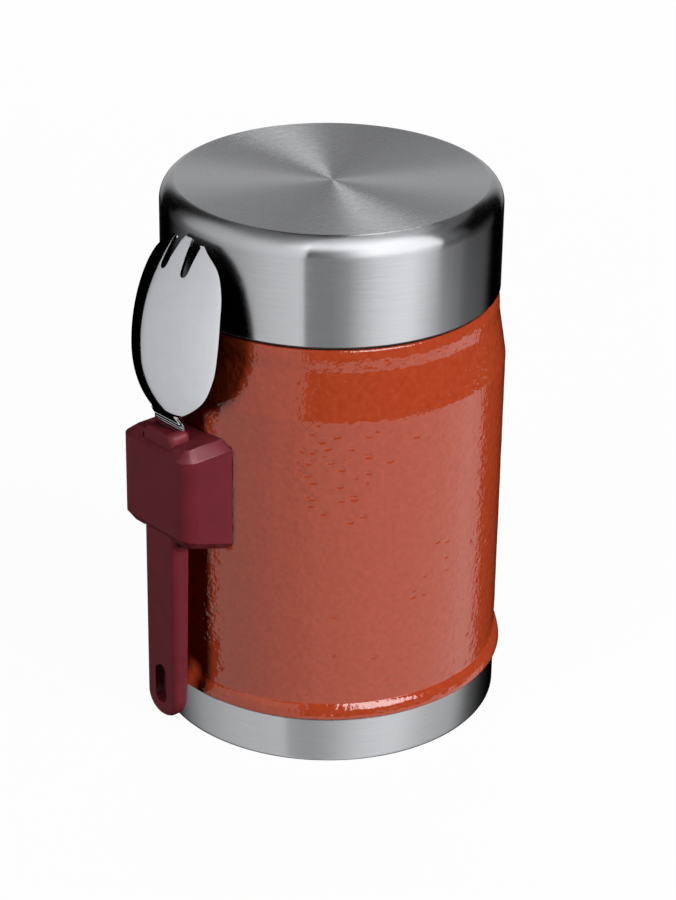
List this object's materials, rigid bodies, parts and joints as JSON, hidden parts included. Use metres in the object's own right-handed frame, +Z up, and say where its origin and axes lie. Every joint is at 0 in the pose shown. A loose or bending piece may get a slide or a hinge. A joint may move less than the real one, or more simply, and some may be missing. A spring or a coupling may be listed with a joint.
{
  "type": "insulated food jar",
  "caption": "Vacuum insulated steel food jar with a screw-on cup lid over a vented stopper, and a tined spoon that slides into a holder on its side.",
  "frame": {"origin": "centre of the jar's foot, on its axis, at the surface it stands on", "axes": "+Z up along the jar's axis; -Y towards the spork holder, so X runs across the holder"},
  "size_m": [0.0918, 0.1032, 0.142],
  "materials": {
    "hammertone_paint": "glossy hammertone paint on drawn steel",
    "brushed_steel": "stainless steel, brushed round its side and turned on its top",
    "drawn_steel": "stainless steel, drawn, satin",
    "polished_steel": "stainless steel, mirror polished",
    "foil": "bright aluminium foil",
    "solder_glass": "solder glass bead",
    "getter_metal": "sintered powder pellet",
    "plum_plastic": "moulded polypropylene, matt",
    "liner_plastic": "moulded polypropylene, satin",
    "foam": "rigid insulating foam",
    "silicone": "moulded silicone rubber",
    "spring_steel": "drawn spring wire"
  },
  "bodies": {
    "jar": {"outer_shell": "hammertone_paint", "base_cup": "brushed_steel", "inner_vessel": "drawn_steel", "reflective_foil": "foil", "vacuum_bottom": "drawn_steel", "vacuum_seal": "solder_glass", "getter": "getter_metal", "getter_clip": "drawn_steel", "holder_rail": "drawn_steel", "spork_holder": "plum_plastic"},
    "lid_seal": {"lid_gasket": "silicone"},
    "lid": {"lid_shell": "brushed_steel", "lid_liner": "liner_plastic", "lid_insulation": "foam"},
    "stopper_seal": {"stopper_gasket": "silicone"},
    "stopper": {"stopper_body": "liner_plastic", "stopper_cap": "liner_plastic", "stopper_insulation": "foam", "vent_spring": "spring_steel"},
    "vent": {"vent_button": "plum_plastic", "vent_seal": "silicone"},
    "spork": {"spork_head": "polished_steel", "spork_handle": "plum_plastic"}
  },
  "joints": [
    {"name": "lid_lift", "type": "slide", "parent": "jar", "child": "lid_seal", "axis": [0, 0, 1], "range_m": [0, 0.072]},
    {"name": "lid_turn", "type": "hinge", "parent": "lid_seal", "child": "lid", "pos_m": [0, 0, 0], "axis": [0, 0, 1], "range_deg": [0, 1620]},
    {"name": "stopper_lift", "type": "slide", "parent": "jar", "child": "stopper_seal", "axis": [0, 0, 1], "range_m": [0, 0.036]},
    {"name": "stopper_turn", "type": "hinge", "parent": "stopper_seal", "child": "stopper", "pos_m": [0, 0, 0], "axis": [0, 0, 1], "range_deg": [0, 1080]},
    {"name": "vent_press", "type": "slide", "parent": "stopper", "child": "vent", "axis": [0, 0, -1], "range_m": [0, 0.0012], "stiffness_N_per_m": 800, "springref_m": -0.002, "deforming": ["vent_spring"]},
    {"name": "spork_slide", "type": "slide", "parent": "jar", "child": "spork", "axis": [0, 0, 1], "range_m": [0, 0.072]}
  ],
  "couplings": [
    {"joint": "lid_lift", "follows": "lid_turn", "m_per_rad": 0.0025465},
    {"joint": "stopper_turn", "follows": "lid_turn", "ratio": 0.66667},
    {"joint": "stopper_lift", "follows": "lid_turn", "m_per_rad": 0.0012732}
  ]
}
